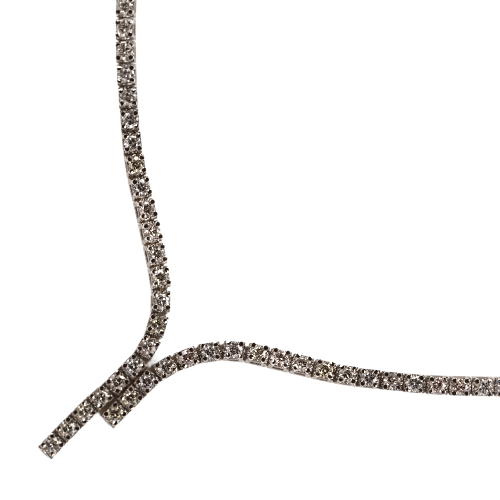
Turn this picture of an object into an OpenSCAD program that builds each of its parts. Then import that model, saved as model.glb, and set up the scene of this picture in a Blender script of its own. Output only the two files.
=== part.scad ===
/* [Links] */
// Distance from one hinge to the next
pitch = 3.4; // [3.35:0.05:3.5]
// Length of a square link's body
link_l = 3.1; // [3:0.05:3.15]
// Width of a link across the strand
link_w = 2.7; // [2.6:0.05:2.75]
// Height of a link's metal body without its prongs
body_h = 1.65; // [1.6:0.05:1.7]
// Height of the rail that runs round the foot of a link
rail_h = 0.45; // [0.35:0.05:0.5]

/* [Stones] */
// Radius of a stone at its girdle
stone_r = 1.25; // [1.15:0.01:1.25]
// Height of the girdle over the surface that the link stands on
girdle_z = 1.85; // [1.8:0.01:1.9]
// Thickness of the girdle
girdle_t = 0.06; // [0.04:0.01:0.08]
// Angle of the pavilion facets
pavilion_angle = 41; // [40:0.5:42]
// Angle of the crown facets
crown_angle = 34; // [32:0.5:35]
// Table radius as a share of the girdle radius
table_share = 0.56; // [0.52:0.01:0.6]
// Clear space all round a stone
stone_gap = 0.11; // [0.1:0.01:0.12]

/* [Prongs] */
// Radius of a prong
prong_r = 0.41; // [0.35:0.01:0.41]
// Place of a prong along the link
prong_x = 0.93; // [0.93:0.01:1]
// Place of a prong across the link
prong_y = 0.94; // [0.9:0.01:0.94]
// Height of the prong tips
prong_h = 2.34; // [2.3:0.01:2.4]

/* [Hinges] */
// Place of the hinge pin along the link
pin_x = 1.32; // [1.3:0.01:1.34]
// Height of the hinge pin
pin_z = 0.72; // [0.7:0.01:0.74]
// Radius of the hinge pin
pin_r = 0.16; // [0.15:0.01:0.17]
// Radius of the hole in the tongue
eye_hole_r = 0.36; // [0.35:0.01:0.37]
// Radius of the round end of the tongue
eye_r = 0.52; // [0.5:0.01:0.53]
// Thickness of the tongue
tongue_t = 0.42; // [0.38:0.01:0.46]
// Width of the slot that takes the next tongue
slot_w = 1.16; // [1.1:0.02:1.2]

/* [Necklace] */
// Radius of the round that the hinges of the hidden stretch lie on
loop_r = 60.5; // [58:0.5:62]
// Distance between the two rows of the junction
row_gap = 3.1; // [3.05:0.05:3.2]
// How far the right row of the junction stands below the left one
row_shift = 0.3; // [0:0.05:0.4]
// Shortest clasp, hinge to hinge, that the last links leave room for
clasp_min_l = 10; // [8:1:12]
// Width of the clasp
clasp_w = 3.4; // [3:0.1:4]
// Height of the clasp
clasp_h = 2; // [1.8:0.1:2.2]

/* [Hidden] */
$fn = 32;
metal = "gainsboro";
gem = "lightblue";
over = 1;
// A row of a path table: how many links, the sideways turn before each of them,
// and how far each leans outwards
COUNT = 0;
TURN = 1;
LEAN = 2;
left_path = [[1, 14.5, 0], [1, 14, 0], [1, 15, -3], [1, 10.5, -8], [1, 3, -11], [1, 0, -12],
    [1, 0.5, -11], [1, 0, -8], [1, -4, -4], [1, -3.5, 1], [1, -2, 6], [1, -0.5, 10],
    [1, -1, 14], [1, -1, 17], [1, -1, 18], [1, -1.5, 18]];
right_path = [[1, 14.5, 0], [1, 10, 2], [1, 12, -1], [1, 13.5, -6], [1, 8, -10], [1, 0, -11],
    [1, 0, -9], [1, -1, -6], [1, -4, -2], [1, -2.5, 2], [1, -0.5, 6], [1, -1, 9],
    [1, -2, 12], [1, -1, 14], [1, -0.5, 15], [1, 0, 15]];
// A turned link stands off, since links touch at their inner corners: way per sine of the turn
stand_off = 0.92;
// The long tail's links spread a little from the short tail's link
long_tail_turns = [5, -5, 0, -2];
short_tail_turn = 0;
// How much longer a tongue is where its link stands off
$longer = 0;
chamber_l = 2.2;
chamber_w = 1.84;
window_l = 1.7;
window_z = 1.22;
base_hole_l = 1.6;
base_hole_w = 1.3;
end_slit_w = 1.3;
slot_top = 1.38;
slot_l = 1.1;
bridge_l = 0.5;
bridge_x = 0.85;
bridge_z0 = 0.3;
bridge_z1 = 1.5;
bridge_overlap = 0.1;
pin_overlap = 0.25;
tongue_overlap = 0.1;
clasp_cut = 0.5;
girdle_sides = 16;
table_sides = 8;

crown_h = stone_r * (1 - table_share) * tan(crown_angle);
culet_z = girdle_z - girdle_t / 2 - stone_r * tan(pavilion_angle);
table_z = girdle_z + girdle_t / 2 + crown_h;
tail_rows = len(long_tail_turns);
shown_links = len(left_path);

function angle_of_chord(l) = 2 * asin(l / 2 / loop_r);
arc_step = angle_of_chord(pitch);

function column(path, which) = [for (row = path) for (k = [1:row[COUNT]]) row[which]];
function running(list) = [for (i = 0, s = list[0]; i < len(list); i = i + 1,
    s = s + (i < len(list) ? list[i] : 0)) s];
function way(turn) = pitch + stand_off * sin(abs(turn));
function step(l, heading, side) = l * [side * sin(heading), cos(heading)];
function walk(start, turns, headings, side) = [for (i = 0, p = start; i <= len(turns); i = i + 1,
    p = i <= len(turns) ? p + step(way(turns[i - 1]), headings[i - 1], side) : p) p];
// Place of a row of the junction: the left row stands higher than the right one
function row_place(side) = side * [row_gap / 2, -row_shift / 2];
function shown_joints(path, side) = walk(row_place(side) + [0, pitch / 2],
    column(path, TURN), running(column(path, TURN)), side);

left_shown = shown_joints(left_path, -1);
right_shown = shown_joints(right_path, 1);
left_end = left_shown[shown_links];
right_end = right_shown[shown_links];
chord = right_end - left_end;
loop_c = (left_end + right_end) / 2
    + [-chord[1], chord[0]] / norm(chord) * sqrt(loop_r ^ 2 - chord * chord / 4);

function angle_on_loop(p) = atan2(p[1] - loop_c[1], p[0] - loop_c[0]);
function on_loop(a) = loop_c + loop_r * [cos(a), sin(a)];
// As many links as the round takes on each side, with room left for the clasp
hidden_angle = 360 - (angle_on_loop(right_end) - angle_on_loop(left_end));
arc_links = floor((hidden_angle - angle_of_chord(clasp_min_l)) / 2 / arc_step);
strand_links = shown_links + arc_links;
// The rest of a strand goes round the loop, away from the end of the stretch that shows
function rest_joints(end, side) =
    [for (k = [1:arc_links]) on_loop(angle_on_loop(end) + side * k * arc_step)];
left_joints = concat(left_shown, rest_joints(left_end, -1));
right_joints = concat(right_shown, rest_joints(right_end, 1));

// Leans fade to nothing on the way round to the clasp
function leans(path) = concat(column(path, LEAN),
    [for (k = [1:arc_links]) path[len(path) - 1][LEAN] * (1 - k / arc_links)]);
left_leans = leans(left_path);
right_leans = leans(right_path);

// Height of a hinge over the surface, so that leaning links stand on one lower edge
function lift(lean) = link_w / 2 * sin(abs(lean));
function hinge_lift(list, i) = max(lift(list[max(i - 1, 0)]), lift(list[min(i, len(list) - 1)]));

// The widest places of the whole loop, which the origin is centred on
all_x = [for (p = concat(left_joints, right_joints)) p[0]];
low_y = row_place(-1)[1] - pitch * (tail_rows + 1) - link_l / 2;
mid_x = (min(all_x) + max(all_x)) / 2;
mid_y = (low_y + loop_c[1] + loop_r + clasp_w / 2) / 2;

function chamfered(l, w, c) = [[l / 2, w / 2 - c], [l / 2 - c, w / 2], [c - l / 2, w / 2],
    [-l / 2, w / 2 - c], [-l / 2, c - w / 2], [c - l / 2, -w / 2], [l / 2 - c, -w / 2],
    [l / 2, c - w / 2]];

module box(l, w, z0, z1) {
    translate([-l / 2, -w / 2, z0]) cube([l, w, z1 - z0]);
}

// The place that a stone takes with clear space all round, open at the top
module stone_space() {
    drop = stone_gap / cos(pavilion_angle);
    rise = stone_gap / cos(crown_angle);
    side_r = stone_r + stone_gap;
    table_r = stone_r * table_share;
    rotate_extrude() polygon([[0, culet_z - drop],
        [side_r, culet_z - drop + side_r * tan(pavilion_angle)],
        [side_r, girdle_z + girdle_t / 2 + rise - stone_gap * tan(crown_angle)],
        [table_r, table_z + rise], [table_r, prong_h + over], [0, prong_h + over]]);
}

module prong() {
    rotate_extrude() polygon([[0, rail_h], [prong_r, rail_h], [prong_r, prong_h - 0.16],
        [prong_r * 0.95, prong_h - 0.07], [prong_r * 0.7, prong_h], [0, prong_h]]);
}

module cross_rod(x, z, r, l) {
    translate([x, 0, z]) rotate([90, 0, 0]) cylinder(r = r, h = l, center = true);
}

// The flat tongue behind a link, with a hole for the pin of the link before it
module tongue() {
    reach = pitch - pin_x + $longer;
    difference() {
        union() {
            translate([-reach, -tongue_t / 2, pin_z - eye_r])
                cube([reach - chamber_l / 2 - tongue_overlap, tongue_t, 2 * eye_r]);
            cross_rod(-reach, pin_z, eye_r, tongue_t);
        }
        cross_rod(-reach, pin_z, eye_hole_r, tongue_t + over);
    }
}

// A square four-prong basket, open below, with a slit in each side wall
module basket() {
    difference() {
        union() {
            box(link_l, link_w, 0, body_h);
            for (sx = [-1, 1], sy = [-1, 1])
                translate([sx * prong_x, sy * prong_y, 0]) prong();
        }
        stone_space();
        box(base_hole_l, base_hole_w, -over, rail_h + over / 2);
        box(chamber_l, chamber_w, rail_h, window_z);
        box(window_l, link_w + over, rail_h, window_z);
        children();
    }
}

// The slot at the front of a link, which takes the tongue of the next one
module slot() {
    translate([link_l / 2 - slot_l, -slot_w / 2, -over]) cube([slot_l + over, slot_w, slot_top + over]);
}

module pin() {
    cross_rod(pin_x, pin_z, pin_r, slot_w + 2 * pin_overlap);
}

module setting() {
    basket() slot();
    pin();
    tongue();
}

// The last link of a tail has a slit in its closed end and no tongue
module end_setting() {
    basket() {
        slot();
        translate([-link_l / 2 - over, -end_slit_w / 2, rail_h])
            cube([over * 2, end_slit_w, window_z - rail_h]);
    }
    pin();
}

// Two settings side by side with solder between them
module double_setting() {
    for (s = [-1, 1]) translate([s * row_shift / 2, s * row_gap / 2, 0]) setting();
    for (e = [-1, 1])
        translate([e * bridge_x, 0, 0])
            box(bridge_l, row_gap - link_w + 2 * bridge_overlap, bridge_z0, bridge_z1);
}

// Corner points of a stone, the culet last: table, upper and lower girdle, culet
function ring(r, z, n, turn) = [for (i = [0:n - 1]) [r * cos(i * 360 / n + turn),
    r * sin(i * 360 / n + turn), z]];
stone_points = concat(ring(stone_r * table_share, table_z, table_sides, 0),
    ring(stone_r, girdle_z + girdle_t / 2, girdle_sides, 0),
    ring(stone_r, girdle_z - girdle_t / 2, girdle_sides, 0), [[0, 0, culet_z]]);
up = table_sides;
low = table_sides + girdle_sides;
culet = table_sides + 2 * girdle_sides;
stone_faces = concat(
    [[for (i = [table_sides - 1:-1:0]) i]],
    [for (i = [0:table_sides - 1]) [i, (i + 1) % table_sides, up + 2 * i + 1]],
    [for (i = [0:table_sides - 1]) [i, up + 2 * i + 1, up + 2 * i]],
    [for (i = [0:table_sides - 1])
        [(i + 1) % table_sides, up + (2 * i + 2) % girdle_sides, up + 2 * i + 1]],
    [for (i = [0:girdle_sides - 1])
        [up + i, up + (i + 1) % girdle_sides, low + (i + 1) % girdle_sides, low + i]],
    [for (i = [0:girdle_sides - 1]) [low + i, low + (i + 1) % girdle_sides, culet]]);

module stone() {
    polyhedron(points = stone_points, faces = stone_faces);
}

module at_origin() {
    translate([-mid_x, -mid_y, 0]) children();
}

// Places one thing on each link of a strand, standing on the surface
module along(joints, leans, side) {
    at_origin()
        for (i = [0:strand_links - 1]) {
            d = joints[i + 1] - joints[i];
            z0 = hinge_lift(leans, i);
            z1 = hinge_lift(leans, i + 1);
            back = pitch / 2 / norm(d);
            m = joints[i + 1] - d * back;
            $longer = norm(d) - pitch;
            translate([m[0], m[1], z1 - (z1 - z0) * back])
                rotate([side * leans[i], -atan2(z1 - z0, norm(d)), atan2(d[1], d[0])])
                    children();
        }
}

// Places a thing in a row of the junction, counted downwards from 0
module in_junction(row) {
    at_origin() translate([0, -pitch * row, 0]) rotate([0, 0, 90]) children();
}

function tail_heading(turns, i) = i == 0 ? turns[0] : tail_heading(turns, i - 1) + turns[i];
function tail_joint(side, turns, i) = i == 0 ? row_place(side) - [0, 1.5 * pitch]
    : tail_joint(side, turns, i - 1)
        - pitch * [sin(tail_heading(turns, i - 1)), cos(tail_heading(turns, i - 1))];

// Places a thing on link i of a tail, counted from 0
module on_tail(side, turns, i) {
    a = tail_joint(side, turns, i);
    b = tail_joint(side, turns, i + 1);
    m = (a + b) / 2;
    at_origin() translate([m[0], m[1], 0]) rotate([0, 0, 90 - tail_heading(turns, i)]) children();
}

module long_tail(i) {
    on_tail(-1, long_tail_turns, i) children();
}

module short_tail() {
    on_tail(1, [short_tail_turn], 0) children();
}

module left_settings() {
    color(metal) along(left_joints, left_leans, -1) setting();
}

module left_stones() {
    color(gem) along(left_joints, left_leans, -1) stone();
}

module right_settings() {
    color(metal) along(right_joints, right_leans, 1) setting();
}

module right_stones() {
    color(gem) along(right_joints, right_leans, 1) stone();
}

module junction_link_upper() {
    color(metal) in_junction(0) double_setting();
}

module junction_link_lower() {
    color(metal) in_junction(1) double_setting();
}

module junction_stone(row, side) {
    color(gem) in_junction(row) translate([-side * row_shift / 2, -side * row_gap / 2, 0]) stone();
}

module junction_stone_1() {
    junction_stone(0, -1);
}

module junction_stone_2() {
    junction_stone(0, 1);
}

module junction_stone_3() {
    junction_stone(1, -1);
}

module junction_stone_4() {
    junction_stone(1, 1);
}

module short_tail_link() {
    color(metal) short_tail() end_setting();
}

module short_tail_stone() {
    color(gem) short_tail() stone();
}

module long_tail_link(i) {
    color(metal) long_tail(i) setting();
}

module long_tail_stone(i) {
    color(gem) long_tail(i) stone();
}

module long_tail_link_1() {
    long_tail_link(0);
}

module long_tail_link_2() {
    long_tail_link(1);
}

module long_tail_link_3() {
    long_tail_link(2);
}

module long_tail_link_4() {
    color(metal) long_tail(3) end_setting();
}

module long_tail_stone_1() {
    long_tail_stone(0);
}

module long_tail_stone_2() {
    long_tail_stone(1);
}

module long_tail_stone_3() {
    long_tail_stone(2);
}

module long_tail_stone_4() {
    long_tail_stone(3);
}

// A plain closed box with a tongue at each end, between the last links of both strands
module clasp() {
    a = left_joints[strand_links];
    b = right_joints[strand_links];
    m = (a + b) / 2;
    body_l = norm(b - a) - (pitch - link_l);
    color(metal) at_origin() translate([m[0], m[1], 0])
        rotate([0, 0, atan2(b[1] - a[1], b[0] - a[0])]) {
            linear_extrude(height = clasp_h)
                polygon(chamfered(body_l, clasp_w, clasp_cut));
            for (s = [0, 180])
                rotate([0, 0, s]) translate([pitch / 2 - norm(b - a) / 2, 0, 0]) tongue();
        }
}

left_settings();
left_stones();
right_settings();
right_stones();
junction_link_upper();
junction_link_lower();
short_tail_link();
long_tail_link_1();
long_tail_link_2();
long_tail_link_3();
long_tail_link_4();
junction_stone_1();
junction_stone_2();
junction_stone_3();
junction_stone_4();
short_tail_stone();
long_tail_stone_1();
long_tail_stone_2();
long_tail_stone_3();
long_tail_stone_4();
clasp();
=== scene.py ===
import math
import random
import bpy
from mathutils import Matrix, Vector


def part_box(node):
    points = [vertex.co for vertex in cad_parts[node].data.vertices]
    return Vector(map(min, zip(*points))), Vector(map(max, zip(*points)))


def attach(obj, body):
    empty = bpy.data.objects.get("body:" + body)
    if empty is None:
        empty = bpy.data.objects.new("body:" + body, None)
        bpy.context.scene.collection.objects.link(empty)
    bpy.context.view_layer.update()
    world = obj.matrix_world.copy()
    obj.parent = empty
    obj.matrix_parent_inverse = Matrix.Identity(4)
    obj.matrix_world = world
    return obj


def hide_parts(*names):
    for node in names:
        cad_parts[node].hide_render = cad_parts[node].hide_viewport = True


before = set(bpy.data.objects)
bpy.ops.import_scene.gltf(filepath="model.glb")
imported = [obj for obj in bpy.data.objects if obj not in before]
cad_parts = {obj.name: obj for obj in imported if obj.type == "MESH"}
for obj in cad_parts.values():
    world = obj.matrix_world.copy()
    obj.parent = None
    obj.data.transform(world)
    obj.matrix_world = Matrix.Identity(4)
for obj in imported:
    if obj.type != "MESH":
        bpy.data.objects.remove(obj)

from types import SimpleNamespace

import bpy
from mathutils import Matrix, Vector

bl_info = {
    "name": "Diamond line necklace",
    "version": (1, 0, 0),
    "blender": (4, 5, 0),
    "location": "View3D > Sidebar > Necklace",
    "description": "Models and dresses a line necklace of four-prong links",
    "category": "Object",
}

# What the necklace is made of

# The junction stone that each strand starts from
STRANDS = {"left": "junction_stone_1", "right": "junction_stone_2"}
# The stones of each soldered link, in the left row and in the right one
JUNCTION = {
    "junction_link_upper": ("junction_stone_1", "junction_stone_2"),
    "junction_link_lower": ("junction_stone_3", "junction_stone_4"),
}
# Each tail link's stone, whether the link ends its tail, and on which side another row is
TAILS = [
    ("long_tail_stone_1", False, -1),
    ("long_tail_stone_2", False, 0),
    ("long_tail_stone_3", False, 0),
    ("long_tail_stone_4", True, 0),
    ("short_tail_stone", True, 1),
]
SINGLE_STONES = [
    "junction_stone_1", "junction_stone_2", "junction_stone_3", "junction_stone_4",
    "short_tail_stone", "long_tail_stone_1", "long_tail_stone_2", "long_tail_stone_3",
    "long_tail_stone_4",
]
# Seeds of the random draws
SEEDS = {"strands": 11, "junction": 12, "tails": 13, "stones": 7}

# Scale and closeness

# Links and stones are modelled at 1 unit to the millimetre and placed at this scale
MM = 0.001
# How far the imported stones' doubled corners may lie apart, in metres
WELD = 1e-6
# How near points are merged, in millimetres: in metal, at a facet's cut and in a cut stone
METAL_MERGE, CUT_MERGE, STONE_MERGE = 0.0005, 0.0002, 0.003
# Facets that differ by less than this angle, in degrees, are one
FLAT_ANGLE = 0.3

# Small forms, in millimetres

# How far a cutting tool stands out of the metal, and how far blocks overlap
PAST, OVERLAP = 1, 0.1
# Length and width of the openings under a stone, at the foot and over the rail
FOOT_OPENING, BASKET_OPENING = (1.6, 1.3), (2.2, 1.84)
# Room between a stone and its seat, and the seat's radius at the culet
SEAT_ROOM, SEAT_TIP = 0.015, 0.01
# How deep a tongue's root lies in its link, and how much longer a pin is than its slot is wide
TONGUE_ROOT, PIN_HOLD = 0.25, 0.3
# Rings of a prong's bead: share of its radius, and depth below its tip
BEAD_RINGS = [
    (1.0, 0.165), (0.965, 0.095), (0.94, 0.055), (0.885, 0.03), (0.865, 0.0287), (0.3, 0.02),
]
# The broken side of a bead: its least share of the flank's slope, the share of the radius
# where it starts, and the share of the bead's height that it may take away
FLANK_LEAST, FLANK_START, FLANK_DEEPEST = 0.4, 0.3, 0.85
# The solder bars between the two rows of the junction
SOLDER_LENGTH, SOLDER_PLACES, SOLDER_HEIGHTS = 0.5, (-0.85, 0.85), (0.3, 1.5)
SOLDER_EDGE, SOLDER_SEGMENTS = 0.05, 2
CLASP_EDGE, CLASP_SEGMENTS = 0.45, 5

# Sides of the round forms
POST_SIDES, SEAT_SIDES, EYE_SIDES, HOLE_SIDES, PIN_SIDES = 14, 24, 20, 14, 10
GIRDLE_SIDES, FLOOR_SIDES = 16, 64
# Edges sharper than these angles, in degrees, are rounded on a link and on the clasp
LINK_ROUNDED, CLASP_ROUNDED = 40, 60
# Edges sharper than this angle, in degrees, stay sharp in the shading
SHADED_SHARP = 42

# How deep in the painted shade each kind of face lies: at 0 the metal is polished, at 1 it is
# painted dark brown as shade and dull
SHADES = SimpleNamespace(
    prong=-0.5, prong_inside=0.3, top=0.24, side=0.57, side_by_row=0.95, end=0.4,
    closed_end=0.2, inside=0.7, solder=0.9, clasp=0.0,
)
# How far a face's middle may lie from a link's outer face, from its end, and over its top
NEAR_FACE, NEAR_END, OVER_TOP = 0.05, 0.06, 0.02
# The share of its normal from which a face looks a way, and under which it is upright
LOOKS, UPRIGHT = 0.5, 0.3


def size(name, default, text):
    """A length of the necklace in metres, given in millimetres."""
    return bpy.props.FloatProperty(
        name=name, description=text, default=default * MM, min=0.0, unit="LENGTH", precision=6
    )


def share(name, default, text, low=0.0, high=1.0):
    return bpy.props.FloatProperty(
        name=name, description=text, default=default, min=low, max=high, precision=3
    )


def angle(name, default, text):
    return bpy.props.FloatProperty(
        name=name, description=text, default=math.radians(default), subtype="ANGLE"
    )


def colour(name, default, text):
    return bpy.props.FloatVectorProperty(
        name=name, description=text, default=default, size=3, min=0.0, max=1.0, subtype="COLOR"
    )


class NecklaceLinkSizes(bpy.types.PropertyGroup):
    pitch: size("Pitch", 3.4, "From one hinge to the next")
    length: size("Length", 3.1, "Length of a link's body")
    width: size("Width", 2.7, "Width of a link across the strand")
    height: size("Height", 1.65, "Height of a link's body without its prongs")
    front: size("Front", 0.08, "How far a link's front end stands nearer to the next link")
    step_length: size("Step length", 0.1, "Length of the low step at each corner of the top")
    step_inner: size("Step inner", 0.72, "Where the low step starts, from the middle line")
    step_depth: size("Step depth", 0.35, "Depth of the low step")
    rail: size("Rail", 0.45, "Height of the rail at the foot")
    window_top: size("Window top", 1.22, "Height of the top of the slit in each side wall")
    window_length: size("Window length", 1.7, "Length of the slit in each side wall")
    edge: size("Edge", 0.035, "Rounding of the metal's edges")
    prong_radius: size("Prong radius", 0.409, "Radius of a prong")
    prong_along: size("Prong along", 0.93, "Place of a prong along the link")
    prong_across: size("Prong across", 0.94, "Place of a prong across the link")
    prong_height: size("Prong height", 2.34, "Height of the prong tips")
    bead_slope: share("Bead slope", 0.09, "How much the top of a prong may slope")
    bead_flank: share("Bead flank", 0.45, "How much steeper one side of its top may be")
    row_gap: size("Row gap", 3.1, "Between the two rows of the junction")
    row_shift: size("Row shift", 0.3, "How far the right row stands below the left one")


class NecklaceHingeSizes(bpy.types.PropertyGroup):
    pin_place: size("Pin place", 1.32, "Place of the hinge pin along the link")
    pin_height: size("Pin height", 0.72, "Height of the hinge pin")
    pin_radius: size("Pin radius", 0.16, "Radius of the hinge pin")
    eye_hole: size("Eye hole", 0.3, "Radius of the hole in the tongue")
    eye_radius: size("Eye radius", 0.52, "Radius of the tongue's round end")
    tongue: size("Tongue", 0.42, "Thickness of the tongue")
    slot: size("Slot", 1.16, "Width of the slot that takes the next tongue")
    slot_top: size("Slot top", 1.38, "Height of the slot")
    slot_length: size("Slot length", 1.1, "Length of the slot")
    end_slit: size("End slit", 1.3, "Width of the slit in a tail's closed end")


class NecklaceStoneSizes(bpy.types.PropertyGroup):
    radius: size("Radius", 1.25, "Radius at the girdle")
    girdle_height: size("Girdle height", 1.85, "Height of the girdle over the link's foot")
    girdle: size("Girdle", 0.05, "Thickness of the girdle")
    table: share("Table", 0.56, "Table radius as a share of the girdle radius")
    crown: angle("Crown", 34, "Angle of the crown's main facets")
    pavilion: angle("Pavilion", 41, "Angle of the pavilion's main facets")
    star: share("Star tip", 0.76, "Radius of the star facets' tips as a share")
    lower_half: share("Lower halves", 0.23, "Radius where the lower halves meet, as a share")
    sway: angle("Sway", 1.6, "How far a stone may lie out of level in its seat")


class NecklaceFinish(bpy.types.PropertyGroup):
    gold: colour("White gold", (0.88, 0.825, 0.775), "Polished white gold")
    # The dark brown painted as shade on the metal in the recesses, on the links' sides and ends
    # and on the solder
    painted_shade_colour: colour("Tarnish", (0.2, 0.116, 0.07), "Dulled metal in the recesses")
    gold_roughness: share("Polish", 0.09, "Roughness of the polished metal")
    satin_roughness: share("Satin", 0.05, "Added roughness of the top plates")
    dull_roughness: share("Dullness", 0.5, "Roughness of the dulled metal")


class NecklaceStage(bpy.types.PropertyGroup):
    floor: colour("Floor", (0.9, 0.9, 0.9), "The white surface")
    floor_radius: bpy.props.FloatProperty(
        name="Floor radius", description="Radius of the surface", default=6.0, unit="LENGTH"
    )
    room: share("Room light", 1.18, "Strength of the room's panels", high=20.0)
    # The painted shadow on the floor: its colour in the narrow gaps between links and at their
    # mouths
    contact_shadow: colour("Contact", (0.022, 0.012, 0.007), "The floor in the narrow gaps between links")
    shadow_fringe: colour("Fringe", (0.15, 0.09, 0.052), "The floor at the mouths of the gaps")
    elevation: angle("Elevation", 80, "Height of the camera over the horizon")
    roll: angle("Roll", 45, "Turn of the camera about its own axis")
    distance: bpy.props.FloatProperty(
        name="Distance", description="From the camera to its aim", default=1.0, unit="LENGTH"
    )
    view_width: size("View width", 74.69, "Width of what the picture shows")
    aim_x: size("Aim X", 0.053, "Aim of the camera to the right of the first junction stone")
    aim_y: size("Aim Y", 25.108, "Aim of the camera beyond the first junction stone")


GROUPS = {
    "necklace_link": NecklaceLinkSizes,
    "necklace_hinge": NecklaceHingeSizes,
    "necklace_stone": NecklaceStoneSizes,
    "necklace_finish": NecklaceFinish,
    "necklace_stage": NecklaceStage,
}


def in_mm(group):
    """A property group's lengths in millimetres, its other values as they are."""
    rows = {}
    for key in group.__annotations__:
        value = getattr(group, key)
        is_length = group.bl_rna.properties[key].unit == "LENGTH"
        rows[key] = value / MM if is_length else value
    return SimpleNamespace(**rows)


def sizes(scene):
    """The sizes of the link, the hinge and the stone in millimetres."""
    groups = scene.necklace_link, scene.necklace_hinge, scene.necklace_stone
    return [in_mm(group) for group in groups]


# Modelling helpers


def start_clean():
    if bpy.context.object and bpy.context.object.mode != "OBJECT":
        bpy.ops.object.mode_set(mode="OBJECT")
    bpy.ops.object.select_all(action="DESELECT")


def just_added(name):
    made = bpy.context.active_object
    made.name = name
    bpy.ops.object.transform_apply(location=True, rotation=True, scale=True)
    return made


def work_on(thing):
    start_clean()
    thing.select_set(True)
    bpy.context.view_layer.objects.active = thing


def block(l, w, z0, z1, x=0.0, y=0.0, name="block"):
    """A box of a length, a width and two heights."""
    start_clean()
    bpy.ops.mesh.primitive_cube_add(
        size=1, location=(x, y, (z0 + z1) / 2), scale=(l, w, z1 - z0)
    )
    return just_added(name)


def turned(rows, sides, x=0.0, y=0.0):
    """An upright turned form: a disc that is extruded and scaled from row to row."""
    start_clean()
    r, z = rows[0]
    bpy.ops.mesh.primitive_circle_add(
        vertices=sides, radius=r, fill_type="NGON", location=(x, y, z)
    )
    made = just_added("turned")
    bpy.ops.object.mode_set(mode="EDIT")
    bpy.ops.mesh.select_all(action="SELECT")
    for (ra, za), (rb, zb) in zip(rows, rows[1:]):
        bpy.ops.mesh.extrude_region_move(TRANSFORM_OT_translate={"value": (0, 0, zb - za)})
        bpy.ops.transform.resize(value=(rb / ra, rb / ra, 1), center_override=(x, y, zb))
    bpy.ops.mesh.select_all(action="SELECT")
    bpy.ops.mesh.normals_make_consistent(inside=False)
    bpy.ops.object.mode_set(mode="OBJECT")
    return made


def cross_rod(x, z, r, l, sides):
    """A round bar across the strand."""
    start_clean()
    bpy.ops.mesh.primitive_cylinder_add(
        vertices=sides, radius=r, depth=l, location=(x, 0, z), rotation=(math.pi / 2, 0, 0)
    )
    return just_added("rod")


def discard(thing):
    mesh = thing.data
    bpy.data.objects.remove(thing)
    bpy.data.meshes.remove(mesh)


def combine(target, tool, operation):
    """Adds a tool to the target or cuts it out, and takes the tool away."""
    work_on(target)
    step = target.modifiers.new("combine", "BOOLEAN")
    step.operation = operation
    step.solver = "EXACT"
    step.object = tool
    bpy.ops.object.modifier_apply(modifier=step.name)
    discard(tool)


def cut(target, *tools):
    for tool in tools:
        combine(target, tool, "DIFFERENCE")
    return target


def add(target, *tools):
    for tool in tools:
        combine(target, tool, "UNION")
    return target


def join(parts, name):
    """One object of several, which keep their own shells."""
    start_clean()
    for part in parts:
        part.select_set(True)
    bpy.context.view_layer.objects.active = parts[0]
    if len(parts) > 1:
        bpy.ops.object.join()
    parts[0].name = parts[0].data.name = name
    return parts[0]


def round_edges(thing, width, segments=1, limit=LINK_ROUNDED):
    """Breaks the sharp edges and welds what meets."""
    work_on(thing)
    step = thing.modifiers.new("edges", "BEVEL")
    step.width = width
    step.segments = segments
    step.limit_method = "ANGLE"
    step.angle_limit = math.radians(limit)
    step.use_clamp_overlap = True
    bpy.ops.object.modifier_apply(modifier=step.name)
    bpy.ops.object.mode_set(mode="EDIT")
    bpy.ops.mesh.select_all(action="SELECT")
    bpy.ops.mesh.remove_doubles(threshold=METAL_MERGE)
    bpy.ops.mesh.normals_make_consistent(inside=False)
    bpy.ops.object.mode_set(mode="OBJECT")
    return thing


def smooth(thing):
    work_on(thing)
    bpy.ops.object.shade_smooth_by_angle(
        angle=math.radians(SHADED_SHARP), keep_sharp_edges=False
    )


def mark_faces(thing, name, value_of):
    """Stores a value for each face, which a material reads."""
    rows = thing.data.attributes.get(name) or thing.data.attributes.new(name, "FLOAT", "FACE")
    for face in thing.data.polygons:
        rows.data[face.index].value = value_of(face)


# The link


def stone_heights(s):
    """Heights of a stone's culet, its girdle's lower and upper edge, and its table."""
    low, top = s.girdle_height - s.girdle / 2, s.girdle_height + s.girdle / 2
    culet_z = low - s.radius * math.tan(s.pavilion)
    table_z = top + s.radius * (1 - s.table) * math.tan(s.crown)
    return culet_z, low, top, table_z


def seat_rows(s):
    """Outline of the space that a stone fills, from its culet up past its table."""
    culet_z, _, top, table_z = stone_heights(s)
    foot = culet_z - SEAT_ROOM / math.cos(s.pavilion)
    side = s.radius + SEAT_ROOM
    return [
        (SEAT_TIP, foot), (side, foot + side * math.tan(s.pavilion)),
        (side, top + SEAT_ROOM / 2), (s.radius * s.table, table_z + SEAT_ROOM),
        (s.radius * s.table, table_z + 2 * PAST),
    ]


def prong_rows(k):
    """A round post that ends in a flat bead with a rounded rim."""
    r, h = k.prong_radius, k.prong_height
    return [(r, k.rail)] + [(r * part, h - below) for part, below in BEAD_RINGS]


def corner_steps(k):
    """The tools that cut a low step into each corner of the top."""
    outer = k.width / 2 + OVERLAP
    tools = []
    for end in (-k.length / 2, k.length / 2 + k.front):
        for side in (-1, 1):
            tools.append(block(
                2 * k.step_length, outer - k.step_inner,
                k.height - k.step_depth, k.height + 2 * OVERLAP,
                x=end, y=side * (outer + k.step_inner) / 2,
            ))
    return tools


def tongue(k, h):
    """The flat tongue behind a link, with a hole for the pin before it."""
    reach = k.pitch - h.pin_place
    inner = k.length / 2 - TONGUE_ROOT
    plate = block(
        reach - inner, h.tongue, h.pin_height - h.eye_radius, h.pin_height + h.eye_radius,
        x=-(reach + inner) / 2, name="tongue",
    )
    add(plate, cross_rod(-reach, h.pin_height, h.eye_radius, h.tongue, EYE_SIDES))
    return cut(plate, cross_rod(-reach, h.pin_height, h.eye_hole, PAST, HOLE_SIDES))


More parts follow.
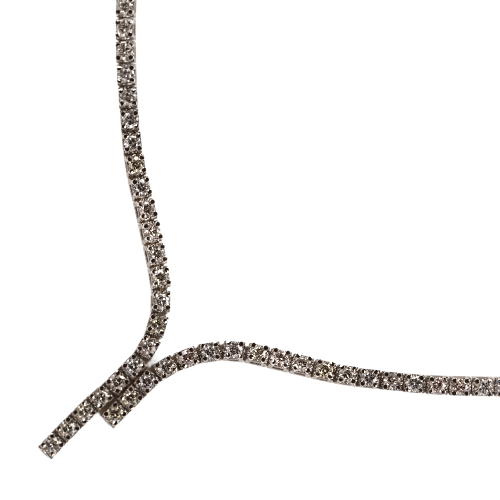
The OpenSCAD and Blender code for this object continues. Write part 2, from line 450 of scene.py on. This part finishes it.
def painted_shade_depth(k, closed, row_side=0):
    """How deep in the painted shade the faces of a link lie.

    row_side is the side, 1 or -1, that another row stands close to.
    """
    end, side, top = k.length / 2, k.width / 2, k.height

    def value(face):
        x, y, z = face.center
        n = face.normal
        if z > top + OVER_TOP:
            inward = abs(x) < k.prong_along and abs(y) < k.prong_across and n.z < UPRIGHT
            return SHADES.prong_inside if inward else SHADES.prong
        if abs(y) > side - NEAR_FACE and abs(n.y) > LOOKS:
            return SHADES.side_by_row if y * row_side > 0 else SHADES.side
        if z > top - NEAR_FACE and n.z > LOOKS:
            return SHADES.top
        if closed and x < -end + NEAR_END and n.x < -LOOKS:
            return SHADES.closed_end
        if abs(x) > end - NEAR_END and abs(n.x) > LOOKS:
            return SHADES.end
        return SHADES.inside

    return value


def satin(k):
    """1 on the satin top plates between the prongs, 0 on polished faces."""
    def value(face):
        return 1.0 if k.height - NEAR_FACE < face.center.z < k.height + OVER_TOP else 0.0

    return value


def setting(k, h, s, closed=False):
    """One link: a basket with four prongs, a slot with its pin, and a tongue unless closed."""
    made = block(k.length + k.front, k.width, 0, k.height, x=k.front / 2, name="link")
    for along in (-k.prong_along, k.prong_along):
        for across in (-k.prong_across, k.prong_across):
            add(made, turned(prong_rows(k), POST_SIDES, along, across))
    far = k.length / 2
    slot_x = far - h.slot_length / 2 + PAST / 2
    cut(
        made,
        block(*FOOT_OPENING, -PAST, k.rail + OVERLAP),
        block(*BASKET_OPENING, k.rail, k.window_top),
        block(k.window_length, k.width + PAST, k.rail, k.window_top),
        block(h.slot_length + PAST, h.slot, -PAST, h.slot_top, x=slot_x),
        turned(seat_rows(s), SEAT_SIDES),
        *corner_steps(k),
    )
    if closed:
        cut(made, block(PAST, h.end_slit, k.rail, k.window_top, x=-far))
    round_edges(made, k.edge)
    pin = cross_rod(h.pin_place, h.pin_height, h.pin_radius, h.slot + PIN_HOLD, PIN_SIDES)
    parts = [made, pin]
    if not closed:
        parts.append(round_edges(tongue(k, h), k.edge))
    made = join(parts, "closed_link" if closed else "link")
    # Each face's depth in the painted shade, and its satin, which the gold's material reads
    mark_faces(made, "painted_shade_depth", painted_shade_depth(k, closed))
    mark_faces(made, "satin", satin(k))
    smooth(made)
    return made


# The stone


def facet_planes(s):
    """Three points on the plane of each facet but the table and the girdle."""
    culet_z, low, top, table_z = stone_heights(s)

    def spot(part, turn, z):
        r = s.radius * part
        return Vector((r * math.cos(turn), r * math.sin(turn), z))

    eighth, sixteenth = math.pi / 4, math.pi / 8
    star_z = table_z - s.radius * (s.star * math.cos(sixteenth) - s.table) * math.tan(s.crown)
    half_z = culet_z + s.radius * s.lower_half * math.cos(sixteenth) * math.tan(s.pavilion)
    culet = Vector((0, 0, culet_z))
    planes = []
    for i in range(8):
        a = i * eighth
        between, beside = a + sixteenth, spot(1, a + 2 * eighth, 0)
        table_a, table_b = spot(s.table, a, table_z), spot(s.table, a + eighth, table_z)
        star, meet = spot(s.star, between, star_z), spot(s.lower_half, between, half_z)
        planes.append((table_a, spot(1, a, top), spot(1, a, top) + beside))
        planes.append((table_a, table_b, star))
        planes.append((culet, spot(1, a, low), spot(1, a, low) + beside))
        for b in (a, a + eighth):
            planes.append((star, spot(1, b, top), spot(1, between, top)))
            planes.append((meet, spot(1, b, low), spot(1, between, low)))
    return planes


def brilliant(s):
    """A round brilliant, cut from a blank by one plane for each facet."""
    culet_z, _, _, table_z = stone_heights(s)
    start_clean()
    bpy.ops.mesh.primitive_cylinder_add(
        vertices=GIRDLE_SIDES, radius=s.radius, depth=table_z - culet_z,
        location=(0, 0, (table_z + culet_z) / 2),
    )
    made = just_added("brilliant")
    middle = Vector((0, 0, s.girdle_height))
    bpy.ops.object.mode_set(mode="EDIT")
    for p, q, r in facet_planes(s):
        normal = (q - p).cross(r - p).normalized()
        if normal.dot(p - middle) < 0:
            normal.negate()
        bpy.ops.mesh.select_all(action="SELECT")
        bpy.ops.mesh.bisect(
            plane_co=p, plane_no=normal, use_fill=True, clear_outer=True, threshold=CUT_MERGE
        )
    bpy.ops.mesh.select_all(action="SELECT")
    bpy.ops.mesh.remove_doubles(threshold=STONE_MERGE)
    bpy.ops.mesh.dissolve_limited(angle_limit=math.radians(FLAT_ANGLE))
    bpy.ops.mesh.normals_make_consistent(inside=False)
    bpy.ops.object.mode_set(mode="OBJECT")
    return made


# Places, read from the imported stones


def middle_of(points):
    return sum(points, Vector()) / len(points)


def shells(node):
    """Corner points of each loose stone of a node."""
    start_clean()
    twin = bpy.data.objects.new("places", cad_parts[node].data.copy())
    bpy.context.scene.collection.objects.link(twin)
    work_on(twin)
    bpy.ops.object.mode_set(mode="EDIT")
    bpy.ops.mesh.select_all(action="SELECT")
    bpy.ops.mesh.remove_doubles(threshold=WELD)
    bpy.ops.object.mode_set(mode="OBJECT")
    mesh = twin.data
    near = [[] for _ in mesh.vertices]
    for edge in mesh.edges:
        a, b = edge.vertices
        near[a].append(b)
        near[b].append(a)
    seen, found = set(), []
    for first in range(len(near)):
        if first in seen:
            continue
        seen.add(first)
        group, todo = [], [first]
        while todo:
            i = todo.pop()
            group.append(mesh.vertices[i].co.copy())
            for j in near[i]:
                if j not in seen:
                    seen.add(j)
                    todo.append(j)
        found.append(group)
    discard(twin)
    return found


def in_order(groups, start):
    """The stones' corner points in the order of a walk from a point."""
    left = list(groups)
    here, walk = start, []
    while left:
        nearest = min(left, key=lambda group: (middle_of(group) - here).length)
        left.remove(nearest)
        walk.append(nearest)
        here = middle_of(nearest)
    return walk


def place_of(group, ahead, culet_z):
    """The matrix that puts a modelled link under a packed stone, its front towards ahead."""
    culet = min(group, key=lambda p: p.z)
    axis = (middle_of(group) - culet).normalized()
    foot = culet - axis * culet_z
    heights = [(p - culet).dot(axis) for p in group]
    table = [p for p, z in zip(group, heights) if z > max(heights) - 10 * WELD]
    spokes = [(p - culet - axis * (p - culet).dot(axis)).normalized() for p in table]
    along = max(spokes, key=lambda d: d.dot(ahead))
    across = axis.cross(along)
    turn = Matrix((along, across, axis)).transposed().to_4x4()
    return Matrix.Translation(foot) @ turn @ Matrix.Scale(MM, 4)


def places():
    """Where every link stands: a list for each strand, one matrix for each single stone."""
    culet_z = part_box("junction_stone_1")[0].z
    found = {}
    for node in SINGLE_STONES:
        found[node] = place_of(shells(node)[0], Vector((0, 1, 0)), culet_z)
    for side, first in STRANDS.items():
        walk = in_order(shells(f"{side}_stones"), found[first].translation)
        middles = [middle_of(group) for group in walk]
        rows = []
        for i, group in enumerate(walk):
            a, b = (i, i + 1) if i + 1 < len(walk) else (i - 1, i)
            rows.append(place_of(group, (middles[b] - middles[a]).normalized(), culet_z))
        found[side] = rows
    return found


def reach_more(here, before, k, h):
    """How much longer a link's tongue is where the link stands off from the one before."""
    along = here.to_3x3().col[0].normalized()
    pin = before @ Vector((h.pin_place, 0, h.pin_height))
    eye = here @ Vector((0, 0, h.pin_height))
    return max(0.0, (eye - pin).dot(along) / MM - (k.pitch - h.pin_place))


def own_copy(template):
    """A copy of a modelled thing with its own mesh."""
    made = template.copy()
    made.data = template.data.copy()
    bpy.context.scene.collection.objects.link(made)
    return made


def copy_at(template, matrix):
    made = own_copy(template)
    made.data.transform(matrix)
    return made


def slope_beads(mesh, k, draw):
    """Slopes the top of each prong a little its own way and breaks one side of it down."""
    rim = BEAD_RINGS[0][1]
    foot, radius = k.prong_height - rim, k.prong_radius
    for along in (-k.prong_along, k.prong_along):
        for across in (-k.prong_across, k.prong_across):
            way = draw.uniform(0, 2 * math.pi)
            slope = draw.uniform(0, k.bead_slope)
            flank = draw.uniform(FLANK_LEAST, 1) * k.bead_flank
            for v in mesh.vertices:
                x, y, up = v.co.x - along, v.co.y - across, v.co.z - foot
                if up > 0 and math.hypot(x, y) < radius:
                    low = x * math.cos(way) + y * math.sin(way)
                    drop = slope * (radius + low) + flank * max(0.0, low - FLANK_START * radius)
                    v.co.z -= min(drop, FLANK_DEEPEST * rim) * up / rim


def link_at(template, matrix, k, draw, longer=0.0):
    """A copy of a modelled link in its place, with beads of its own and its tongue's length."""
    made = own_copy(template)
    slope_beads(made.data, k, draw)
    # Only the tongue reaches past the body's end
    for v in made.data.vertices:
        if v.co.x < -k.length / 2 - OVERLAP:
            v.co.x -= longer
    made.data.transform(matrix)
    return made


def finish_piece(thing, finish, slot, *nodes):
    """Gives a piece its finish, hangs it under the root and hides the imported parts that it
    stands for.
    """
    thing.data.materials.clear()
    thing.data.materials.append(bpy.data.materials[finish])
    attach(thing, "root")
    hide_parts(*nodes)


# Finishes

# A noise that mottles the painted shade in the metal's corners: its pattern, how far it spreads
# round a face's own shade, and the shades between which the metal goes from polished to painted
# dark brown and dull
SHADE_MOTTLE = {"Scale": 3000.0, "Detail": 6.0, "Roughness": 0.75}
SHADE_MOTTLE_SPREAD = {"From Min": 0.3, "From Max": 0.7, "To Min": -0.38, "To Max": 0.38}
PAINTED_SHADE_EDGES = {"From Min": 0.05, "From Max": 0.95}
# The fine scratches: their pattern, their strength on polished and on satin faces, and depth
SCRATCHES = {"Scale": 3600.0, "Detail": 0.0}
SCRATCH_STRENGTH = {"To Min": 0.05, "To Max": 1.0}
SCRATCH_DEPTH = 0.0001
DIAMOND_IOR = 2.42

# Body colours of the stones, most of them near white, each as often as it is met
WHITE, GREY, CREAM = (0.96, 0.93, 0.91), (0.90, 0.875, 0.86), (0.94, 0.885, 0.81)
OLIVE, STRAW = (0.93, 0.87, 0.72), (0.96, 0.87, 0.66)
ROSE, PINK = (0.94, 0.83, 0.77), (0.98, 0.79, 0.73)
BODY_COLOURS = 8 * [WHITE] + 5 * [GREY] + 6 * [CREAM] + 4 * [OLIVE] + 1 * [STRAW] + 3 * [ROSE]
# Stones whose colour stands out; a strand's stones are counted from the junction
OWN_COLOURS = {
    "junction_stone_3": ROSE, "junction_stone_4": STRAW, "short_tail_stone": STRAW,
    "long_tail_stone_2": STRAW, "long_tail_stone_3": OLIVE,
    "left_7": ROSE, "left_9": STRAW, "right_2": PINK, "right_6": ROSE, "right_8": STRAW,
    "right_13": PINK, "right_14": PINK,
}
# How much light the darkest and the clearest stone let through
CLEARNESS = (0.86, 0.97)


def new_material(name):
    """The node tree and the shader of a new material, and the material itself."""
    made = bpy.data.materials.new(name)
    made.use_nodes = True
    tree = made.node_tree
    tree.nodes.clear()
    out = tree.nodes.new("ShaderNodeOutputMaterial")
    shader = tree.nodes.new("ShaderNodeBsdfPrincipled")
    tree.links.new(shader.outputs["BSDF"], out.inputs["Surface"])
    return tree, shader, made


def node(tree, kind, inputs=(), **settings):
    """A new node: settings are its own, inputs are values or the sockets that feed them."""
    made = tree.nodes.new(kind)
    for key, value in settings.items():
        setattr(made, key, value)
    for key, value in dict(inputs).items():
        if isinstance(value, bpy.types.NodeSocket):
            tree.links.new(value, made.inputs[key])
        else:
            made.inputs[key].default_value = value
    return made


def gold_finish(f):
    """Polished white gold with painted shade, which turns it dark brown and dull in the recesses.
    """
    tree, shader, _ = new_material("polished_gold")
    place = node(tree, "ShaderNodeTexCoord").outputs["Object"]
    shade = node(tree, "ShaderNodeAttribute", attribute_name="painted_shade_depth").outputs["Fac"]
    shade_mottle = node(tree, "ShaderNodeTexNoise", {"Vector": place, **SHADE_MOTTLE}).outputs["Fac"]
    spread = node(
        tree, "ShaderNodeMapRange", {"Value": shade_mottle, **SHADE_MOTTLE_SPREAD}
    ).outputs["Result"]
    mottled_shade = node(
        tree, "ShaderNodeMath", {0: shade, 1: spread}, operation="ADD", use_clamp=True
    ).outputs[0]
    painted_shade_mask = node(
        tree, "ShaderNodeMapRange", {"Value": mottled_shade, **PAINTED_SHADE_EDGES},
        interpolation_type="SMOOTHSTEP",
    ).outputs["Result"]
    # The painted shade: the gold's colour turns dark brown with the mask
    tint = node(tree, "ShaderNodeValToRGB", {"Fac": painted_shade_mask})
    tint.color_ramp.elements[0].color = (*f.gold, 1)
    tint.color_ramp.elements[1].color = (*f.painted_shade_colour, 1)
    tree.links.new(tint.outputs["Color"], shader.inputs["Base Color"])
    sheen = node(tree, "ShaderNodeAttribute", attribute_name="satin").outputs["Fac"]
    worn = node(
        tree, "ShaderNodeMapRange",
        {"Value": painted_shade_mask, "To Min": f.gold_roughness, "To Max": f.dull_roughness},
    ).outputs["Result"]
    rough = node(
        tree, "ShaderNodeMath", {0: sheen, 1: f.satin_roughness, 2: worn},
        operation="MULTIPLY_ADD",
    ).outputs[0]
    tree.links.new(rough, shader.inputs["Roughness"])
    scratches = node(tree, "ShaderNodeTexNoise", {"Vector": place, **SCRATCHES}).outputs["Fac"]
    relief = node(
        tree, "ShaderNodeMapRange", {"Value": sheen, **SCRATCH_STRENGTH}
    ).outputs["Result"]
    bump = node(
        tree, "ShaderNodeBump",
        {"Strength": relief, "Distance": SCRATCH_DEPTH, "Height": scratches},
    )
    tree.links.new(bump.outputs["Normal"], shader.inputs["Normal"])
    shader.inputs["Metallic"].default_value = 1.0


def diamond_finish():
    """Clear diamond with the faint body colour of its own stone."""
    tree, shader, _ = new_material("clear_diamond")
    tint = node(tree, "ShaderNodeAttribute", attribute_name="tint").outputs["Color"]
    tree.links.new(tint, shader.inputs["Base Color"])
    shader.inputs["Roughness"].default_value = 0.0
    shader.inputs["IOR"].default_value = DIAMOND_IOR
    shader.inputs["Transmission Weight"].default_value = 1.0


def stone_at(template, matrix, s, draw, own_colour):
    """A copy of the cut stone in its place, with a turn, a lean and a tint of its own."""
    middle = Vector((0, 0, s.girdle_height))
    lean_axis = Vector((1, 0, 0))
    lean_axis.rotate(Matrix.Rotation(draw.uniform(0, 2 * math.pi), 3, "Z"))
    sway = Matrix.Rotation(draw.uniform(0, s.sway), 4, lean_axis)
    spin = Matrix.Rotation(draw.uniform(0, math.pi / 4), 4, "Z")
    at = Matrix.Translation(middle) @ sway @ spin @ Matrix.Translation(-middle)
    made = copy_at(template, matrix @ at)
    drawn, clear = draw.choice(BODY_COLOURS), draw.uniform(*CLEARNESS)
    tint = made.data.color_attributes.new("tint", "FLOAT_COLOR", "CORNER")
    for corner in tint.data:
        corner.color = (*(c * clear for c in own_colour or drawn), 1.0)
    return made


# Operators


class NECKLACE_OT_finishes(bpy.types.Operator):
    """Makes the white gold and the diamond"""

    bl_idname = "necklace.finishes"
    bl_label = "Finishes"

    def execute(self, context):
        gold_finish(context.scene.necklace_finish)
        diamond_finish()
        return {"FINISHED"}


class NECKLACE_OT_strands(bpy.types.Operator):
    """Models the hinged links of both strands"""

    bl_idname = "necklace.strands"
    bl_label = "Strands"

    def execute(self, context):
        k, h, s = sizes(context.scene)
        template = setting(k, h, s)
        where = places()
        draw = random.Random(SEEDS["strands"])
        for side, first in STRANDS.items():
            before = where[first]
            parts = []
            for here in where[side]:
                longer = reach_more(here, before, k, h)
                parts.append(link_at(template, here, k, draw, longer))
                before = here
            piece = join(parts, f"{side}_links")
            finish_piece(piece, "polished_gold", "white_gold", f"{side}_settings")
        discard(template)
        return {"FINISHED"}


class NECKLACE_OT_junction(bpy.types.Operator):
    """Models the two soldered links of the junction"""

    bl_idname = "necklace.junction"
    bl_label = "Junction links"

    def execute(self, context):
        k, h, s = sizes(context.scene)
        template = setting(k, h, s)
        where = places()
        draw = random.Random(SEEDS["junction"])
        for target, stones in JUNCTION.items():
            parts = []
            for stone, row_side in zip(stones, (-1, 1)):
                # The side by the other row lies deepest in the painted shade
                mark_faces(template, "painted_shade_depth", painted_shade_depth(k, False, row_side))
                parts.append(link_at(template, where[stone], k, draw))
            for along in SOLDER_PLACES:
                solder = block(
                    SOLDER_LENGTH, k.row_gap - k.width + 2 * OVERLAP, *SOLDER_HEIGHTS,
                    x=along - k.row_shift / 2, y=-k.row_gap / 2,
                )
                round_edges(solder, SOLDER_EDGE, SOLDER_SEGMENTS)
                # The solder bars lie deep in the painted shade
                mark_faces(solder, "painted_shade_depth", lambda face: SHADES.solder)
                parts.append(copy_at(solder, where[stones[0]]))
                discard(solder)
            piece = join(parts, f"{target}_metal")
            finish_piece(piece, "polished_gold", "white_gold", target)
        discard(template)
        return {"FINISHED"}


class NECKLACE_OT_tails(bpy.types.Operator):
    """Models the links of the long and the short tail"""

    bl_idname = "necklace.tails"
    bl_label = "Tail links"

    def execute(self, context):
        k, h, s = sizes(context.scene)
        templates = {closed: setting(k, h, s, closed) for closed in (False, True)}
        where = places()
        draw = random.Random(SEEDS["tails"])
        for stone, closed, row_side in TAILS:
            target = stone.replace("stone", "link")
            # A tail link's side by another row lies deepest in the painted shade
            mark_faces(templates[closed], "painted_shade_depth", painted_shade_depth(k, closed, row_side))
            link = link_at(templates[closed], where[stone], k, draw)
            piece = join([link], f"{target}_metal")
            finish_piece(piece, "polished_gold", "white_gold", target)
        for template in templates.values():
            discard(template)
        return {"FINISHED"}


class NECKLACE_OT_stones(bpy.types.Operator):
    """Cuts a brilliant and sets it in every link"""

    bl_idname = "necklace.stones"
    bl_label = "Stones"

    def execute(self, context):
        s = in_mm(context.scene.necklace_stone)
        template = brilliant(s)
        where = places()
        draw = random.Random(SEEDS["stones"])
        for target in SINGLE_STONES:
            cut_stone = stone_at(template, where[target], s, draw, OWN_COLOURS.get(target))
            piece = join([cut_stone], f"{target}_cut")
            finish_piece(piece, "clear_diamond", "diamond", target)
        for side in STRANDS:
            parts = []
            for count, here in enumerate(where[side], 1):
                own_colour = OWN_COLOURS.get(f"{side}_{count}")
                parts.append(stone_at(template, here, s, draw, own_colour))
            piece = join(parts, f"{side}_stones_cut")
            finish_piece(piece, "clear_diamond", "diamond", f"{side}_stones")
        discard(template)
        return {"FINISHED"}


class NECKLACE_OT_clasp(bpy.types.Operator):
    """Models the plain clasp at the back"""

    bl_idname = "necklace.clasp"
    bl_label = "Clasp"

    def execute(self, context):
        k, h, _ = sizes(context.scene)
        low, high = (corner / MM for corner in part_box("clasp"))
        knuckle = k.pitch / 2 - h.pin_place + h.eye_radius
        length = high.x - low.x - 2 * knuckle - (k.pitch - k.length)
        made = block(length, high.y - low.y, 0, high.z, name="clasp_body")
        parts = [round_edges(made, CLASP_EDGE, CLASP_SEGMENTS, CLASP_ROUNDED)]
        move = Matrix.Translation((k.pitch / 2 - (length + k.pitch - k.length) / 2, 0, 0))
        for turn in (0, math.pi):
            end = round_edges(tongue(k, h), k.edge)
            end.data.transform(Matrix.Rotation(turn, 4, "Z") @ move)
            parts.append(end)
        piece = join(parts, "clasp_metal")

        # The clasp's tongues lie in the painted shade, its body stays polished
        def shade(face):
            return SHADES.inside if abs(face.center.x) > length / 2 else SHADES.clasp

        mark_faces(piece, "painted_shade_depth", shade)
        smooth(piece)
        middle = (low + high) / 2
        piece.data.transform(
            Matrix.Scale(MM, 4) @ Matrix.Translation((middle.x, middle.y, 0))
        )
        finish_piece(piece, "polished_gold", "white_gold", "clasp")
        return {"FINISHED"}


# The stage

# The room's light comes from rings of soft panels: elevation, number, half width, radiance
RINGS = [(12, 11, 8, 2.8), (31, 9, 10, 2.0), (48, 12, 7, 1.9), (64, 11, 5, 3.6)]
# How far each ring is turned on from the one below, as a share of its panels' distance
RING_TURN = 0.37
# The share of a panel's half width at which it is fully bright
PANEL_CORE = 0.8
# The side from which the panels are brighter, and by how much
KEY_AZIMUTH, KEY_SHARE = 100, 0.8
# Where the level tops of the links that show reflect to: no panel comes near these
DARK_SPOTS = [
    (66, 58), (75, 68), (90, 80), (112, 60), (104, 70), (211, 60), (211, 72), (331, 66), (331, 77)
]
DARK_REACH = 8
# The panels' tones; the low rings only have the first, plainer ones
TONES = [(1, 0.98, 1), (1, 0.94, 0.89), (1, 0.96, 0.95), (1, 0.86, 0.7), (0.7, 0.78, 1)]
PLAIN_TONES, LOW_RINGS = 3, 2
# The dim room between the panels: the upward share of a direction, and the colour there
LOW_ROOM, HIGH_ROOM = (0.6, (0.2, 0.156, 0.127, 1)), (0.83, (0.017, 0.0095, 0.0062, 1))

# The shares of the floor's colour that it reflects and that it glows with
FLOOR_REFLECTS, FLOOR_GLOWS, FLOOR_ROUGHNESS = 0.05, 1.1, 0.9
# How far off a link shades the floor, and between which open shares the shade fades out
SHADE_REACH, SHADE_SAMPLES = 0.002, 32
SHADE_FADES = {"From Min": 0.14, "From Max": 0.39}
# Where the painted shadow's brown fringe lies between dark and white
FRINGE_PLACE = 0.86

SENSOR_WIDTH = 36
CLIP_START, CLIP_END = 0.01, 100
# How often light may bounce in and between the stones, and the width of the pixel filter
MAX_BOUNCES, STONE_BOUNCES, METAL_BOUNCES = 24, 20, 12
PIXEL_FILTER = 1.15


def towards(azimuth, elevation):
    """The direction of an azimuth and an elevation in degrees."""
    a, e = math.radians(azimuth), math.radians(elevation)
    return Vector((math.cos(a) * math.cos(e), math.sin(a) * math.cos(e), math.sin(e)))


def panels():
    """Each panel's direction, half width, radiance and tone."""
    dark = [towards(*spot) for spot in DARK_SPOTS]
    rows = []
    for ring, (elevation, count, half, radiance) in enumerate(RINGS):
        tones = PLAIN_TONES if ring < LOW_RINGS else len(TONES)
        for i in range(count):
            azimuth = 360 * (i + RING_TURN * ring) / count
            way = towards(azimuth, elevation)
            if min(math.degrees(way.angle(spot)) for spot in dark) < DARK_REACH + half:
                continue
            key = 1 + KEY_SHARE * math.cos(math.radians(azimuth - KEY_AZIMUTH))
            rows.append((way, half, radiance * key, TONES[(i * 2 + ring) % tones]))
    return rows


def room_light(tree):
    """The dim room and its panels, as a colour for each direction."""
    ray = node(tree, "ShaderNodeTexCoord").outputs["Generated"]
    ray = node(tree, "ShaderNodeVectorMath", {0: ray}, operation="NORMALIZE").outputs["Vector"]

    def nearness(way):
        return node(
            tree, "ShaderNodeVectorMath", {0: ray, 1: tuple(way)}, operation="DOT_PRODUCT"
        ).outputs["Value"]

    room = node(tree, "ShaderNodeValToRGB", {"Fac": nearness((0, 0, 1))})
    for element, (position, tone) in zip(room.color_ramp.elements, (LOW_ROOM, HIGH_ROOM)):
        element.position, element.color = position, tone
    total = room.outputs["Color"]
    for way, half, radiance, tone in panels():
        edge, core = (math.cos(math.radians(half * part)) for part in (1.0, PANEL_CORE))
        glow = node(
            tree, "ShaderNodeMapRange",
            {"Value": nearness(way), "From Min": edge, "From Max": core},
        ).outputs["Result"]
        lit = node(
            tree, "ShaderNodeVectorMath",
            {0: tuple(radiance * c for c in tone), "Scale": glow}, operation="SCALE",
        ).outputs["Vector"]
        total = node(
            tree, "ShaderNodeVectorMath", {0: total, 1: lit}, operation="ADD"
        ).outputs["Vector"]
    return total


def lay_floor(stage):
    """The white floor, which glows evenly, with a painted shadow that goes dark in the narrow gaps
    between the links.
    """
    start_clean()
    bpy.ops.mesh.primitive_circle_add(
        vertices=FLOOR_SIDES, radius=stage.floor_radius, fill_type="NGON", location=(0, 0, 0)
    )
    floor = just_added("floor")
    tree, shader, finish = new_material("floor_white")
    reflected = (*(FLOOR_REFLECTS * c for c in stage.floor), 1)
    shader.inputs["Base Color"].default_value = reflected
    shader.inputs["Roughness"].default_value = FLOOR_ROUGHNESS
    shader.inputs["Specular IOR Level"].default_value = 0.0
    shader.inputs["Emission Strength"].default_value = 1.0
    open_share = node(
        tree, "ShaderNodeAmbientOcclusion", {"Distance": SHADE_REACH}, samples=SHADE_SAMPLES
    ).outputs["AO"]
    light_there = node(
        tree, "ShaderNodeMapRange", {"Value": open_share, **SHADE_FADES}
    ).outputs["Result"]
    shade = node(tree, "ShaderNodeValToRGB", {"Fac": light_there})
    shade.color_ramp.elements[0].color = (*stage.contact_shadow, 1)
    shade.color_ramp.elements[1].color = (*(FLOOR_GLOWS * c for c in stage.floor), 1)
    shade.color_ramp.elements.new(FRINGE_PLACE).color = (*stage.shadow_fringe, 1)
    tree.links.new(shade.outputs["Color"], shader.inputs["Emission Color"])
    floor.data.materials.append(finish)


def light_room(scene, stage):
    """The world, whose panels give all the light."""
    world = bpy.data.worlds.new("studio")
    world.use_nodes = True
    scene.world = world
    tree = world.node_tree
    tree.nodes.clear()
    light = node(
        tree, "ShaderNodeBackground", {"Color": room_light(tree), "Strength": stage.room}
    ).outputs[0]
    node(tree, "ShaderNodeOutputWorld", {"Surface": light})


def place_camera(scene, stage):
    """A long lens that looks down on the strands and the junction."""
    low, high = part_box("junction_stone_1")
    first = (low + high) / 2
    aim = Vector((first.x + stage.aim_x, first.y + stage.aim_y, 0))
    tilt = math.pi / 2 - stage.elevation
    turn = Matrix.Rotation(tilt, 4, "X") @ Matrix.Rotation(stage.roll, 4, "Z")
    back = Matrix.Translation((0, 0, stage.distance))
    lens = bpy.data.cameras.new("camera")
    camera = bpy.data.objects.new("camera", lens)
    scene.collection.objects.link(camera)
    camera.matrix_world = Matrix.Translation(aim) @ turn @ back
    lens.sensor_width = SENSOR_WIDTH
    lens.lens = lens.sensor_width * stage.distance / stage.view_width
    lens.clip_start, lens.clip_end = CLIP_START, CLIP_END
    scene.camera = camera


class NECKLACE_OT_stage(bpy.types.Operator):
    """Lays the floor, lights the room and sets up the camera"""

    bl_idname = "necklace.stage"
    bl_label = "Stage"

    def execute(self, context):
        scene, stage = context.scene, context.scene.necklace_stage
        lay_floor(stage)
        light_room(scene, stage)
        place_camera(scene, stage)
        scene.view_settings.view_transform = "Standard"
        scene.cycles.max_bounces = MAX_BOUNCES
        scene.cycles.transmission_bounces = STONE_BOUNCES
        scene.cycles.glossy_bounces = METAL_BOUNCES
        scene.cycles.filter_width = PIXEL_FILTER
        return {"FINISHED"}


OPERATORS = [
    NECKLACE_OT_stage, NECKLACE_OT_finishes, NECKLACE_OT_strands, NECKLACE_OT_junction,
    NECKLACE_OT_tails, NECKLACE_OT_stones, NECKLACE_OT_clasp,
]


class NECKLACE_PT_panel(bpy.types.Panel):
    """Lists the necklace's sizes and its operators"""

    bl_label = "Necklace"
    bl_idname = "NECKLACE_PT_panel"
    bl_space_type = "VIEW_3D"
    bl_region_type = "UI"
    bl_category = "Necklace"

    def draw(self, context):
        for made in OPERATORS:
            self.layout.operator(made.bl_idname)
        for key, group in GROUPS.items():
            column = self.layout.box().column()
            for row in group.__annotations__:
                column.prop(getattr(context.scene, key), row)


def register():
    for group in GROUPS.values():
        bpy.utils.register_class(group)
    for key, group in GROUPS.items():
        setattr(bpy.types.Scene, key, bpy.props.PointerProperty(type=group))
    for made in OPERATORS:
        bpy.utils.register_class(made)
    bpy.utils.register_class(NECKLACE_PT_panel)


def unregister():
    bpy.utils.unregister_class(NECKLACE_PT_panel)
    for made in reversed(OPERATORS):
        bpy.utils.unregister_class(made)
    for key in GROUPS:
        delattr(bpy.types.Scene, key)
    for group in reversed(list(GROUPS.values())):
        bpy.utils.unregister_class(group)


def main():
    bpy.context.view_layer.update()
    register()
    bpy.ops.necklace.stage()
    bpy.ops.necklace.finishes()
    bpy.ops.necklace.strands()
    bpy.ops.necklace.junction()
    bpy.ops.necklace.tails()
    bpy.ops.necklace.stones()
    bpy.ops.necklace.clasp()


if __name__ == "__main__":
    main()
